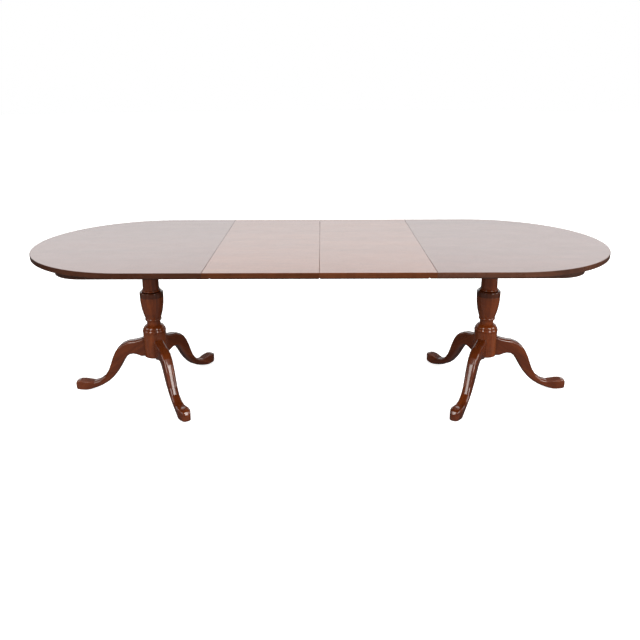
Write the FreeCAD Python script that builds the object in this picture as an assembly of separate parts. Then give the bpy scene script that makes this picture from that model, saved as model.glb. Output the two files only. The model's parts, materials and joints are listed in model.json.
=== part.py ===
import FreeCAD, Part
import math
import os

# Double pedestal extension dining table, shown with both leaves in.
# Millimetres, +Z up, +X along the table, origin on the floor under the middle of the top.

# Top
end_length = 847.0
leaf_length = 457.2
table_depth = 1066.8
table_height = 743.0
top_thickness = 22.0
top_edge_round = 3.0
seam_gap = 0.3
edge_tolerance = 0.01

# Apron
apron_height = 55.0
apron_thickness = 19.0
apron_side_setback = 177.8
apron_end_setback = 154.8
apron_corner_radius = 152.0
apron_notch_width = 3.5
apron_notch_height = 6.0

# Column, turned: radii, and the height of each moulding from the hub upwards
pedestal_from_seam = 345.0
hub_radius = 52.0
hub_bottom = 180.0
hub_above_legs = 32.0
collar_radius = 53.5
collar_waist = 50.0
collar_height = 12.0
groove_height = 2.5
ovolo_radius = 53.0
ovolo_height = 13.0
scotia_radius = 28.8
scotia_lip = 32.0
scotia_height = 23.0
astragal_radius = 39.0
astragal_height = 11.0
urn_foot_radius = 36.8
urn_swell = 4.6
urn_height = 99.0
band_radius = 54.2
band_height = 33.0
band_groove = 1.4
rim_height = 6.0
neck_bead_radius = 42.0
neck_bead_height = 11.0
neck_foot_radius = 36.5
neck_radius = 34.5
tenon_radius = 20.0
tenon_cover = 8.3
tenon_end_gap = 1.0
tenon_clearance = 0.1

# Legs: reach from the column's axis, the leg's top above the floor where it meets the hub,
# and the angle in degrees between an inner leg and the table's length
leg_reach = 410.0
leg_top = 279.0
leg_spread = 58.8
leg_edge_round = 9.0
leg_edge_share = 0.4
leg_swell = 2.6
knee_width = 48.0
ankle_width = 43.0
foot_width = 56.0
toe_width = 22.0
knee_crown = 18.0
shank_crown = 15.0
foot_crown = 8.0
leg_tongue_depth = 18.0
leg_tongue_root = 18.0
leg_tongue_tip = 26.0
leg_tongue_drop = 21.0
leg_tongue_bury = 4.0
leg_joint_clearance = 0.12

# Glides and spider plates
glide_radius = 11.0
glide_flat_radius = 8.0
glide_thickness = 3.0
glide_from_toe = 40.0
glide_nail_radius = 1.6
glide_nail_length = 14.0
plate_thickness = 3.0
plate_arm_width = 26.0
plate_disc_radius = 28.0
plate_arm_past_hub = 22.0
plate_screw_past_hub = 12.0
plate_seat_margin = 1.0

# Screws
screw_radius = 2.2
screw_head_radius = 4.5
screw_head_height = 3.0
screw_length = 40.0
screw_bite = 12.0
plate_screw_length = 25.0
screw_clearance = 0.1
screw_end_gap = 1.0
screw_taper = 0.7
counterbore_radius = 6.0

# Pedestal blocks and extension slides
block_length = 300.0
block_to_slide = 10.0
block_screw_inset = 25.0
rail_to_apron = 98.2
rail_width = 28.0
rail_height = 44.0
rail_gap = 0.5
rail_top_gap = 0.3
rail_screw_inset = 60.0
rail_screws = 3
tongue_depth = 9.0
tongue_root_width = 14.0
tongue_tip_width = 20.0
tongue_clearance = 0.3
stop_length = 20.0
stop_clearance = 0.05
opening_travel = 120.0
tie_width = 80.0
tie_thickness = 11.0
tie_clearance = 1.0

# Alignment pins
pin_radius = 4.75
pin_length = 50.0
pin_reach = 20.0
pin_chamfer = 1.5
pin_from_side = 153.0
pin_clearance = 0.05
pin_end_gap = 2.0

# Table locks
lock_swing_clearance = 7.4
lock_plate_to_seam = 2.0
lock_pivot_setback = 20.0
lock_keeper_setback = 16.0
lock_plate_width = 26.0
lock_plate_length = 34.0
lock_plate_thickness = 2.5
lock_rivet_radius = 3.5
lock_rivet_head_radius = 6.0
lock_rivet_head_height = 2.0
lock_rivet_clearance = 0.06
lock_stud_radius = 3.0
lock_stud_clearance = 0.4
lock_lever_thickness = 3.0
lock_lever_gap = 0.5
lock_hook_wall = 4.0
lock_boss_radius = 9.0
lock_arm_width = 11.0
lock_tab_length = 24.0
lock_swing = 75.0

# Places that follow from the sizes above
HALF_ROOT = math.sqrt(0.5)
UP = FreeCAD.Vector(0, 0, 1)
ALONG = FreeCAD.Vector(1, 0, 0)
seam = leaf_length
half_length = leaf_length + end_length
half_depth = table_depth / 2
underside = table_height - top_thickness
apron_bottom = underside - apron_height
apron_side = half_depth - apron_side_setback
apron_end = half_length - apron_end_setback
pedestal_x = leaf_length + pedestal_from_seam
rail_top = underside - rail_top_gap
rail_bottom = rail_top - rail_height
rail_middle = rail_top - rail_height / 2
block_bottom = rail_bottom
rail_length = 2 * (apron_end - apron_thickness - rail_to_apron - seam)
lock_radius = lock_pivot_setback + lock_keeper_setback
lock_slot = lock_stud_radius + lock_stud_clearance
lock_reach = lock_radius + lock_slot + lock_hook_wall + lock_swing_clearance
lock_y = apron_side - apron_thickness - lock_reach
left_rail_face = lock_y - lock_reach - rail_width
middle_rail_face = left_rail_face - rail_width - rail_gap
right_rail_face = middle_rail_face - rail_width - rail_gap
block_half_width = right_rail_face - block_to_slide
hub_top = leg_top + hub_above_legs
tenon_top = underside - tenon_cover
foot_bottom = glide_thickness
plate_arm_reach = hub_radius + plate_arm_past_hub
plate_screw_reach = hub_radius + plate_screw_past_hub
lever_top = underside - lock_plate_thickness - lock_lever_gap
lever_bottom = lever_top - lock_lever_thickness
rivet_foot = lever_bottom - lock_lever_gap


def vec(x, y, z=0.0):
    return FreeCAD.Vector(x, y, z)


def box(x0, x1, y0, y1, z0, z1):
    return Part.makeBox(x1 - x0, y1 - y0, z1 - z0, vec(x0, y0, z0))


def post(x, y, z0, z1, radius):
    """Upright round bar."""
    return Part.makeCylinder(radius, z1 - z0, vec(x, y, z0))


def prism(points, direction):
    """Solid swept from a closed outline of points."""
    return Part.Face(Part.makePolygon(points + points[:1])).extrude(direction)


def sector(inner, outer, from_angle, to_angle, z0, z1):
    """Ring sector about the Z axis."""
    ring = Part.makeCylinder(outer, z1 - z0, vec(0, 0, z0), UP, to_angle - from_angle)
    ring = ring.cut(Part.makeCylinder(inner, z1 - z0, vec(0, 0, z0)))
    ring.rotate(vec(0, 0), UP, from_angle)
    return ring


def arc(start, middle, end):
    return Part.Arc(start, middle, end).toShape()


def line(start, end):
    return Part.LineSegment(start, end).toShape()


def moved(shape, x, y, z=0.0, angle=0.0):
    """Copy turned about the Z axis, then shifted."""
    copy = shape.copy()
    copy.rotate(vec(0, 0), UP, angle)
    copy.translate(vec(x, y, z))
    return copy


def cut_all(shape, tools):
    """Shape with every tool cut away."""
    return shape.cut(Part.makeCompound(tools)) if tools else shape


def export(name, *solids):
    shape = solids[0] if len(solids) == 1 else Part.makeCompound(list(solids))
    shape.exportStep(os.path.join("parts", name + ".step"))


# Tops

def rounded_rim(slab, seams):
    """Eases the long edges of a slab, leaving the edges in the seam planes sharp."""
    rim = []
    for edge in slab.Edges:
        span = edge.BoundBox
        level = span.ZLength < edge_tolerance
        across = span.XLength < edge_tolerance
        in_seam = across and any(abs(span.Center.x - x) < edge_tolerance for x in seams)
        if level and not in_seam:
            rim.append(edge)
    return slab.makeFillet(top_edge_round, rim)


def end_slab():
    """Left end section: straight beside the seam, then a half circle."""
    inner = -seam - seam_gap / 2
    centre = half_depth - half_length
    a, b = vec(inner, -half_depth, underside), vec(inner, half_depth, underside)
    c, d = vec(centre, half_depth, underside), vec(centre, -half_depth, underside)
    tip = vec(-half_length, 0, underside)
    wire = Part.Wire([line(a, b), line(b, c), arc(c, tip, d), line(d, a)])
    return rounded_rim(Part.Face(wire).extrude(UP * top_thickness), [inner])


def leaf_slab():
    """Left leaf, between the left seam and the middle one."""
    x0, x1 = -seam + seam_gap / 2, -seam_gap / 2
    slab = box(x0, x1, -half_depth, half_depth, underside, table_height)
    return rounded_rim(slab, [x0, x1])


pin_places = [pin_from_side - half_depth, 0.0, half_depth - pin_from_side]
pin_height = underside + top_thickness / 2


def pin_bar(x0, x1, radius):
    return [Part.makeCylinder(radius, x1 - x0, vec(x0, y, pin_height), ALONG) for y in pin_places]


def pins(x):
    """Pins across the seam at x, held in the section on its left."""
    solids = []
    tip = x + pin_reach
    for bar in pin_bar(tip - pin_length, tip, pin_radius):
        nose = [edge for edge in bar.Edges if edge.BoundBox.XMin > tip - pin_chamfer]
        solids.append(bar.makeChamfer(pin_chamfer, nose))
    return solids


def pin_holes(x):
    """Holes for those pins, in the sections on both sides of the seam."""
    tip = x + pin_reach
    return pin_bar(tip - pin_length - pin_clearance, tip + pin_end_gap, pin_radius + pin_clearance)


# Apron

def apron_rail(x0, x1, side, notched):
    """Straight rail along the table on one side; its notched ends are eased below."""
    y0 = side * apron_side
    eased = {x0: 1, x1: -1}
    outline = []
    for x in (x0, x1):
        lean = vec(eased[x] * apron_notch_width, 0)
        corner = [vec(x, y0, apron_bottom + apron_notch_height), vec(x, y0, apron_bottom) + lean]
        foot = corner if x in notched else [vec(x, y0, apron_bottom)]
        outline += foot if x == x0 else foot[::-1]
    outline += [vec(x1, y0, underside), vec(x0, y0, underside)]
    return prism(outline, vec(0, -side * apron_thickness))


def apron_corner(side):
    """Quarter ring at the left end of the table."""
    inner = apron_corner_radius - apron_thickness
    start = 90 if side > 0 else 180
    ring = sector(inner, apron_corner_radius, start, start + 90, apron_bottom, underside)
    return moved(ring, apron_corner_radius - apron_end, side * (apron_side - apron_corner_radius))


def apron_end_rail():
    half = apron_side - apron_corner_radius
    return box(-apron_end, apron_thickness - apron_end, -half, half, apron_bottom, underside)


# Pedestals

def column():
    """Turned column about the Z axis, with its tenon and hub; the leg slots are cut later."""
    foot = vec(0, 0, hub_bottom)
    here = foot
    edges = []

    def bulge(radius, end_radius, height):
        nonlocal here
        end = vec(end_radius, 0, here.z + height)
        edges.append(arc(here, vec(radius, 0, here.z + height / 2), end))
        here = end

    def step(radius, height=0.0):
        nonlocal here
        end = vec(radius, 0, here.z + height)
        edges.append(line(here, end))
        here = end

    def quarter(end_radius, height):
        nonlocal here
        end = vec(end_radius, 0, here.z + height)
        middle = vec(end_radius + (here.x - end_radius) * HALF_ROOT, 0, here.z + height * HALF_ROOT)
        edges.append(arc(here, middle, end))
        here = end

    step(hub_radius)
    step(hub_radius, hub_top - hub_bottom)
    step(collar_waist)
    bulge(collar_radius, collar_waist, collar_height)
    step(collar_waist, groove_height)
    step(ovolo_radius)
    quarter(scotia_lip, ovolo_height)
    bulge(scotia_radius, scotia_lip, scotia_height)
    step(urn_foot_radius)
    bulge(astragal_radius, urn_foot_radius, astragal_height)
    bulge((urn_foot_radius + band_radius) / 2 + urn_swell, band_radius, urn_height)
    step(band_radius - band_groove)
    step(band_radius - band_groove, band_groove)
    step(band_radius)
    step(band_radius, band_height - rim_height)
    step(band_radius - band_groove)
    step(band_radius - band_groove, band_groove)
    step(band_radius)
    rim = rim_height - band_groove
    quarter(band_radius - rim, rim)
    step(neck_foot_radius)
    bulge(neck_bead_radius, neck_foot_radius, neck_bead_height)
    step(neck_radius, block_bottom - here.z)
    step(tenon_radius)
    step(tenon_radius, tenon_top - block_bottom)
    step(0.0)
    edges.append(line(here, foot))
    return Part.Face(Part.Wire(edges)).revolve(vec(0, 0), UP, 360)


# Leg stations from the hub to the toe, each with its width and the round of its upper edges.
# Upper edge: share of the reach past the hub, and of the leg's top.
# Lower edge: share of the reach past the hub, and of the hub's underside.
leg_stations = [
    (-0.05, 1.000, -0.05, 0.992, knee_width, knee_crown),
    (0.055, 0.941, 0.045, 0.992, knee_width, knee_crown),
    (0.125, 0.918, 0.100, 1.042, knee_width, knee_crown),
    (0.215, 0.900, 0.150, 1.066, knee_width, knee_crown),
    (0.295, 0.855, 0.207, 1.052, knee_width, knee_crown),
    (0.355, 0.788, 0.252, 0.987, 0.8 * knee_width + 0.2 * ankle_width, 0.7 * knee_crown + 0.3 * shank_crown),
    (0.405, 0.698, 0.300, 0.845, 0.6 * knee_width + 0.4 * ankle_width, 0.3 * knee_crown + 0.7 * shank_crown),
    (0.445, 0.595, 0.347, 0.682, 0.4 * knee_width + 0.6 * ankle_width, shank_crown),
    (0.480, 0.475, 0.398, 0.527, 0.2 * knee_width + 0.8 * ankle_width, shank_crown),
    (0.520, 0.352, 0.463, 0.372, ankle_width, shank_crown),
    (0.575, 0.250, 0.535, 0.246, ankle_width, shank_crown),
    (0.650, 0.178, 0.622, 0.142, 0.9 * ankle_width + 0.1 * foot_width, 0.8 * shank_crown + 0.2 * foot_crown),
    (0.730, 0.143, 0.712, 0.068, 0.6 * ankle_width + 0.4 * foot_width, 0.4 * shank_crown + 0.6 * foot_crown),
    (0.800, 0.147, 0.790, 0.022, 0.2 * ankle_width + 0.8 * foot_width, foot_crown),
    (0.865, 0.159, 0.860, -0.040, foot_width, foot_crown),
    (0.925, 0.165, 0.920, -0.047, 0.9 * foot_width + 0.1 * toe_width, foot_crown),
    (0.972, 0.153, 0.968, -0.031, 0.58 * foot_width + 0.42 * toe_width, foot_crown),
    (0.998, 0.108, 0.996, 0.030, toe_width, foot_crown),
]


def leg_section(upper, lower, width, crown):
    """Rounded rectangle across the leg, between a point of its upper edge and one of its lower edge."""
    up = (upper - lower).normalize()
    start = lower - up * leg_swell
    tall = (upper - start).Length + leg_swell
    side = vec(0, 1)
    half = width / 2
    most = leg_edge_share * min(width, tall)
    low, high = min(leg_edge_round, most), min(crown, most)
    low_inset, high_inset = low * (1 - HALF_ROOT), high * (1 - HALF_ROOT)

    def at(across, height):
        return start + side * across + up * height

    edges = [
        line(at(low - half, 0), at(half - low, 0)),
        arc(at(half - low, 0), at(half - low_inset, low_inset), at(half, low)),
        line(at(half, low), at(half, tall - high)),
        arc(at(half, tall - high), at(half - high_inset, tall - high_inset), at(half - high, tall)),
        line(at(half - high, tall), at(high - half, tall)),
        arc(at(high - half, tall), at(high_inset - half, tall - high_inset), at(-half, tall - high)),
        line(at(-half, tall - high), at(-half, low)),
        arc(at(-half, low), at(low_inset - half, low_inset), at(low - half, 0)),
    ]
    return Part.Wire(edges)


def dovetail(grow):
    """Dovetail of a leg's root, along +X into the hub, grown by a clearance on every side."""
    root = hub_radius + leg_tongue_bury
    tip = hub_radius - leg_tongue_depth - grow
    slope = (leg_tongue_tip - leg_tongue_root) / 2 / leg_tongue_depth
    wide = leg_tongue_tip / 2 + grow
    narrow = wide - slope * (root - tip)
    top = leg_top - leg_tongue_drop + grow
    z0 = hub_bottom
    outline = [vec(tip, -wide, z0), vec(root, -narrow, z0), vec(root, narrow, z0), vec(tip, wide, z0)]
    return prism(outline, UP * (top - z0))


def leg():
    """Cabriole leg along +X from the column's axis, with its dovetail, glide hole and screw hole."""
    span = leg_reach - hub_radius
    sections = []
    for u_reach, u_rise, l_reach, l_rise, width, crown in leg_stations:
        upper = vec(hub_radius + u_reach * span, 0, u_rise * leg_top)
        lower = vec(hub_radius + l_reach * span, 0, l_rise * hub_bottom)
        sections.append(leg_section(upper, lower, width, crown))
    body = Part.makeLoft(sections, True, False)
    hub = post(0, 0, 0, hub_top, hub_radius + leg_joint_clearance)
    floor = box(0, 2 * leg_reach, -leg_reach, leg_reach, -leg_top, foot_bottom)
    seat = plate_arm_reach + plate_seat_margin
    under_hub = box(0, seat, -leg_reach, leg_reach, 0, hub_bottom)
    body = body.cut(hub).cut(floor).cut(under_hub).fuse(dovetail(0.0)).removeSplitter()
    nail_top = foot_bottom + glide_nail_length
    nail_hole = post(leg_reach - glide_from_toe, 0, 0, nail_top, glide_nail_radius + screw_clearance)
    screw_top = hub_bottom + plate_screw_length
    screw_hole = post(plate_screw_reach, 0, 0, screw_top, screw_radius + screw_clearance)
    return cut_all(body, [nail_hole, screw_hole])


def glide():
    """Domed glide with its nail, standing on the floor at the origin."""
    dome = Part.makeCone(glide_flat_radius, glide_radius, glide_thickness)
    nail = post(0, 0, 0, foot_bottom + glide_nail_length - screw_end_gap, glide_nail_radius)
    return dome.fuse(nail).removeSplitter()


leg_turns = {"outer": 180.0, "front": -leg_spread, "back": leg_spread}


def spider_plate():
    """Flat three-armed plate under the left hub, with its screw holes."""
    z0 = hub_bottom - plate_thickness
    plate = post(0, 0, z0, hub_bottom, plate_disc_radius)
    arm = box(0, plate_arm_reach, -plate_arm_width / 2, plate_arm_width / 2, z0, hub_bottom)
    for turn in leg_turns.values():
        plate = plate.fuse(moved(arm, 0, 0, 0, turn))
    holes = [post(p.x, p.y, z0, hub_bottom, screw_radius + screw_clearance) for p in plate_screw_places()]
    return cut_all(plate.removeSplitter(), holes)


def plate_screw_places():
    reach = vec(plate_screw_reach, 0)
    turns = [FreeCAD.Rotation(UP, turn) for turn in leg_turns.values()]
    return [vec(0, 0)] + [turn.multVec(reach) for turn in turns]


def screw(x, y, shoulder, length):
    """Wood screw driven upwards, its head below the shoulder."""
    low = shoulder - screw_head_height
    head = Part.makeCone(screw_taper * screw_head_radius, screw_head_radius, screw_head_height)
    return moved(head, x, y, low).fuse(post(x, y, low, shoulder + length, screw_radius)).removeSplitter()


def pedestal(side, turned, limb):
    """All pieces of one pedestal; the right one is the left one turned half round."""
    name = "left" if side < 0 else "right"
    turn = 0.0 if side < 0 else 180.0
    x = side * pedestal_x
    slots = [moved(dovetail(leg_joint_clearance), 0, 0, 0, t) for t in leg_turns.values()]
    middle_hole = post(0, 0, hub_bottom, hub_bottom + plate_screw_length, screw_radius + screw_clearance)
    export(name + "_column", moved(cut_all(turned, slots + [middle_hole]), x, 0, 0, turn))
    foot = vec(leg_reach - glide_from_toe, 0)
    glides = []
    mirror = {"outer": "outer", "front": "back", "back": "front"}
    for place, angle in leg_turns.items():
        label = place if side < 0 else mirror[place]
        export(name + "_leg_" + label, moved(limb, x, 0, 0, angle + turn))
        spot = FreeCAD.Rotation(UP, angle + turn).multVec(foot)
        glides.append(moved(glide(), x + spot.x, spot.y))
    export(name + "_foot_glides", *glides)
    export(name + "_spider_plate", moved(spider_plate(), x, 0, 0, turn))
    under = hub_bottom - plate_thickness
    length = plate_thickness + plate_screw_length - screw_end_gap
    screws = [screw(p.x, p.y, under, length) for p in plate_screw_places()]
    export(name + "_spider_screws", *[moved(s, x, 0, 0, turn) for s in screws])


# Pedestal blocks, slides and the screws that hold them up

block_screw_x = block_length / 2 - block_screw_inset
block_screw_y = block_half_width - block_screw_inset
screw_shoulder = underside + screw_bite - screw_length
rail_inner_end = (rail_length - 2 * seam) / 2
left_rail_x = rail_inner_end - rail_length
stop_travel = opening_travel / 2 + stop_length


def block_screw_places(side):
    return [(side * pedestal_x + a * block_screw_x, b * block_screw_y) for a in (-1, 1) for b in (-1, 1)]


def rail_screw_places(side):
    """Screws through the rails that are fixed under one end section."""
    face = left_rail_face if side < 0 else right_rail_face
    start, end = left_rail_x + rail_screw_inset, -seam - rail_screw_inset
    xs = [start + (end - start) * i / (rail_screws - 1) for i in range(rail_screws)]
    return [(-side * x, b * (face + rail_width / 2)) for x in xs for b in (-1, 1)]


def screw_ways(places):
    """Clearance hole and counterbore of each screw, as tools to cut with."""
    tools = []
    tip = underside + screw_bite + screw_end_gap
    for x, y in places:
        tools.append(post(x, y, rail_bottom, tip, screw_radius + screw_clearance))
        tools.append(post(x, y, rail_bottom, screw_shoulder, counterbore_radius))
    return tools


def pedestal_block(side):
    x, half = side * pedestal_x, block_length / 2
    body = box(x - half, x + half, -block_half_width, block_half_width, block_bottom, underside)
    bore = post(x, 0, block_bottom, tenon_top + tenon_end_gap, tenon_radius + tenon_clearance)
    return cut_all(body, [bore] + screw_ways(block_screw_places(side)))


def tongue(face, outwards, x0, x1, grow):
    """Dovetail tongue on a rail's face, before it is put on the front or back slide."""
    reach = tongue_depth + grow
    slope = (tongue_tip_width - tongue_root_width) / 2 / tongue_depth
    root = tongue_root_width / 2 + grow
    tip = root + slope * reach
    y1 = face + outwards * reach
    outline = [
        vec(x0, face, rail_middle - root),
        vec(x0, y1, rail_middle - tip),
        vec(x0, y1, rail_middle + tip),
        vec(x0, face, rail_middle + root),
    ]
    return prism(outline, ALONG * (x1 - x0))


def on_side(shape, side):
    """Back slide as drawn, front slide mirrored."""
    return shape if side > 0 else shape.mirror(vec(0, 0), vec(0, 1))


def rail_body(x0, x1, face, drop=0.0):
    return box(x0, x1, face, face + rail_width, rail_bottom - drop, rail_top)


def slides():
    """Left, middle and right rails of both slides, with the stop blocks and the tie of the middle ones."""
    middle_x = rail_length / 2
    tongue_start = middle_x - stop_travel
    groove = tongue_clearance
    right_face = right_rail_face + rail_width
    left = rail_body(left_rail_x, rail_inner_end, left_rail_face)
    left = left.fuse(tongue(left_rail_face, -1, -tongue_start, rail_inner_end, 0.0)).removeSplitter()
    right = rail_body(-rail_inner_end, -left_rail_x, right_rail_face)
    right = right.fuse(tongue(right_face, 1, -rail_inner_end, tongue_start, 0.0)).removeSplitter()
    middle = rail_body(-middle_x, middle_x, middle_rail_face, tie_clearance)
    inner_groove = tongue(right_face, 1, -middle_x, middle_x, groove)
    outer_groove = tongue(left_rail_face, -1, -middle_x, middle_x, groove)
    middle = middle.cut(inner_groove).cut(outer_groove)
    stops = []
    for face, outwards, x0 in ((left_rail_face, -1, -middle_x), (right_face, 1, middle_x - stop_length)):
        stop = tongue(face, outwards, x0, x0 + stop_length, groove - stop_clearance)
        stops.append(stop.common(rail_body(-middle_x, middle_x, middle_rail_face)))
    all_stops = []
    for side, label in ((-1, "front"), (1, "back")):
        export("left_slide_rail_" + label, cut_all(on_side(left, side), screw_ways(rail_screw_places(-1))))
        export("middle_slide_rail_" + label, on_side(middle, side))
        export("right_slide_rail_" + label, cut_all(on_side(right, side), screw_ways(rail_screw_places(1))))
        all_stops += [on_side(s, side) for s in stops]
    export("slide_stop_blocks", *all_stops)
    tie_top = rail_bottom - tie_clearance
    half, reach = tie_width / 2, middle_rail_face + rail_width
    export("middle_slide_tie", box(-half, half, -reach, reach, tie_top - tie_thickness, tie_top))


# Table locks: the lever swings under the seam and hooks over the keeper's stud

def lock_plate():
    """Base plate with its rivet, about the pivot's axis."""
    half_long, half_wide = lock_plate_length / 2, lock_plate_width / 2
    inner = lock_pivot_setback - lock_plate_to_seam
    z0 = underside - lock_plate_thickness
    plate = box(inner - 2 * half_long, inner, -half_wide, half_wide, z0, underside)
    rivet = post(0, 0, rivet_foot, z0, lock_rivet_radius)
    head = post(0, 0, rivet_foot - lock_rivet_head_height, rivet_foot, lock_rivet_head_radius)
    return plate.fuse(rivet).fuse(head).removeSplitter()


def lock_keeper():
    """Keeper plate with its stud, about the pivot's axis."""
    inner = lock_pivot_setback + lock_plate_to_seam
    half_wide = lock_plate_width / 2
    z0 = underside - lock_plate_thickness
    plate = box(inner, inner + lock_plate_length, -half_wide, half_wide, z0, underside)
    stud = post(lock_radius, 0, rivet_foot, z0, lock_stud_radius)
    return plate.fuse(stud).removeSplitter()


def lock_lever():
    """Lever about the pivot's axis, hooked on the stud along +X."""
    inner, outer = lock_radius - lock_slot, lock_radius + lock_slot
    end = math.degrees(lock_slot / lock_radius)
    arm_turn = math.degrees(lock_arm_width / lock_radius)
    first, mouth = -end - arm_turn, 2 * end
    hook = sector(inner - lock_hook_wall, outer + lock_hook_wall, first, mouth, lever_bottom, lever_top)
    way = sector(inner, outer, -end, mouth + end, lever_bottom, lever_top)
    half = lock_arm_width / 2
    arm = box(0, inner - lock_hook_wall / 2, -half, half, lever_bottom, lever_top)
    tab = box(-lock_tab_length, 0, -half, half, lever_bottom, lever_top)
    body = post(0, 0, lever_bottom, lever_top, lock_boss_radius)
    body = body.fuse(moved(arm, 0, 0, 0, -end - arm_turn / 2)).fuse(tab).fuse(hook.cut(way))
    hole = post(0, 0, lever_bottom, lever_top, lock_rivet_radius + lock_rivet_clearance)
    return body.cut(hole).removeSplitter()


def locks():
    """Levers, plates and keepers of all seams, with the levers open."""
    seams = {
        "left": (-seam, "left_end", "left_leaf"),
        "middle": (0.0, "left_leaf", "right_leaf"),
        "right": (seam, "right_leaf", "right_end"),
    }
    spots = {"front": -lock_y, "back": lock_y}
    for name, (x, holder, mate) in seams.items():
        pivot = x - lock_pivot_setback
        for label, y in spots.items():
            export(f"{name}_seam_lock_lever_{label}", moved(lock_lever(), pivot, y, 0, -lock_swing))
        export(holder + "_lock_plates", *[moved(lock_plate(), pivot, y) for y in spots.values()])
        export(mate + "_lock_keepers", *[moved(lock_keeper(), pivot, y) for y in spots.values()])


def sections():
    """The four sections of the top with their aprons, pins and screws."""
    end, leaf = end_slab(), leaf_slab()
    ways = {side: screw_ways(block_screw_places(side) + rail_screw_places(side)) for side in (-1, 1)}
    export("left_end_top", cut_all(end, pin_holes(-seam) + ways[-1]))
    export("left_leaf_top", cut_all(leaf, pin_holes(-seam) + pin_holes(0.0)))
    export("right_leaf_top", cut_all(moved(leaf, seam, 0), pin_holes(0.0) + pin_holes(seam)))
    export("right_end_top", cut_all(moved(end, 0, 0, 0, 180.0), pin_holes(seam) + ways[1]))
    for name, x in (("left", -seam), ("middle", 0.0), ("right", seam)):
        export(name + "_seam_pins", *pins(x))
    for side, name in ((-1, "left"), (1, "right")):
        places = block_screw_places(side) + rail_screw_places(side)
        export(name + "_top_screws", *[screw(x, y, screw_shoulder, screw_length) for x, y in places])
        export(name + "_pedestal_block", pedestal_block(side))
    gap = seam_gap / 2
    corner_x = apron_end - apron_corner_radius
    for side, label in ((-1, "front"), (1, "back")):
        end_rail = apron_rail(-corner_x, -seam - gap, side, [-seam - gap])
        leaf_rail = apron_rail(-seam + gap, -gap, side, [-seam + gap, -gap])
        other = apron_rail(-corner_x, -seam - gap, -side, [-seam - gap])
        export("left_end_apron_" + label, end_rail)
        export("right_end_apron_" + label, moved(other, 0, 0, 0, 180.0))
        export("left_leaf_apron_" + label, leaf_rail)
        export("right_leaf_apron_" + label, moved(leaf_rail, seam, 0))
        export("left_apron_corner_" + label, apron_corner(side))
        export("right_apron_corner_" + label, moved(apron_corner(-side), 0, 0, 0, 180.0))
    export("left_apron_end", apron_end_rail())
    export("right_apron_end", moved(apron_end_rail(), 0, 0, 0, 180.0))


os.makedirs("parts", exist_ok=True)
sections()
slides()
locks()
turned_column, cabriole_leg = column(), leg()
for half in (-1, 1):
    pedestal(half, turned_column, cabriole_leg)
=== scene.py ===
"""Double pedestal extension dining table in lacquered mahogany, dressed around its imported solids."""

import json
import logging
import math
import random
from dataclasses import dataclass
from enum import Enum
from typing import Any, Callable

import bmesh
import bpy
from bmesh.types import BMEdge, BMesh, BMFace, BMVert
from mathutils import Matrix, Vector

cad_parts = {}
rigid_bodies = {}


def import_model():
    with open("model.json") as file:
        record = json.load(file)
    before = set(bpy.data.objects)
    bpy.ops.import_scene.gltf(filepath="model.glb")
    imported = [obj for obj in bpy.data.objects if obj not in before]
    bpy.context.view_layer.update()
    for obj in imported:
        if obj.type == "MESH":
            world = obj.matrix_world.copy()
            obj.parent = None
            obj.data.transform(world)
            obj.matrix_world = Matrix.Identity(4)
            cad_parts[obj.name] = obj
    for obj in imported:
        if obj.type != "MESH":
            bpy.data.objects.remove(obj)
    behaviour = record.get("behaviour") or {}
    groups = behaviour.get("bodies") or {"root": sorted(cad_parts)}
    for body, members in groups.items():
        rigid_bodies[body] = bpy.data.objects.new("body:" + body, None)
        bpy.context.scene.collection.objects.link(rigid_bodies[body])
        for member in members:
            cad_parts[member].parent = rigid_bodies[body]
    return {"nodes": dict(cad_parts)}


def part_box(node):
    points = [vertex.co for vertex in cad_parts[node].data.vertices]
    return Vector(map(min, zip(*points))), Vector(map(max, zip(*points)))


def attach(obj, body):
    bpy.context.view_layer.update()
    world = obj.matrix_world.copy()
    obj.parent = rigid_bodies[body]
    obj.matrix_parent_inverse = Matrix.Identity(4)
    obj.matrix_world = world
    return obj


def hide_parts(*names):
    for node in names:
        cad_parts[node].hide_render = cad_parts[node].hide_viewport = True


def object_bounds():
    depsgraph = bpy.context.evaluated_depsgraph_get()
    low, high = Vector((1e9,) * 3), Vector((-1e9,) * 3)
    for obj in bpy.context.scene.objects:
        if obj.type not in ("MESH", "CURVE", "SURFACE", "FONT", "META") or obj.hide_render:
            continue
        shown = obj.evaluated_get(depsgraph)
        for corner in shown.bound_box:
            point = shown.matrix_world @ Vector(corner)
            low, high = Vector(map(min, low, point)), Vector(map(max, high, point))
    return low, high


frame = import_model()
CAD_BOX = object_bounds()

LOG = logging.getLogger("dining_table")
Colour = tuple[float, float, float]
Point = tuple[float, float, float]
Span = tuple[float, float]
GrainPlace = Callable[[Vector], Vector]
Socket = bpy.types.NodeSocket

MM = 0.001
X, Z = 0, 2
UP = Vector((0.0, 0.0, 1.0))
WHITE = (1.0, 1.0, 1.0, 1.0)
GRAIN = "grain"
GRAIN_SPREAD = 9.0
MERGE = 1e-6
TOUCH = 1e-5


class Named(Enum):
    """A choice whose name is used in the names of pieces."""

    @property
    def word(self) -> str:
        """Its name in small letters."""
        return self.name.lower()


class End(Named):
    """The two ends of the table, by the sign of X."""

    LEFT = -1
    RIGHT = 1

    @property
    def half(self) -> str:
        """Body of its half of the table."""
        return f"{self.word}_half"


class Side(Named):
    """The two long sides of the table, by the sign of Y."""

    FRONT = -1
    BACK = 1


class LegPlace(Named):
    """The three legs of a pedestal, by the turn in degrees from the table's end."""

    OUTER = 0.0
    FRONT = -121.2
    BACK = 121.2


class Slot(Enum):
    """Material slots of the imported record."""

    TOP = "top_mahogany"
    APRON = "apron_mahogany"
    PEDESTAL = "pedestal_mahogany"
    SLIDE = "slide_hardwood"
    STEEL = "zinc_steel"
    GLIDE = "glide_plastic"


# Mesh work shared by the sub-assemblies


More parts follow.
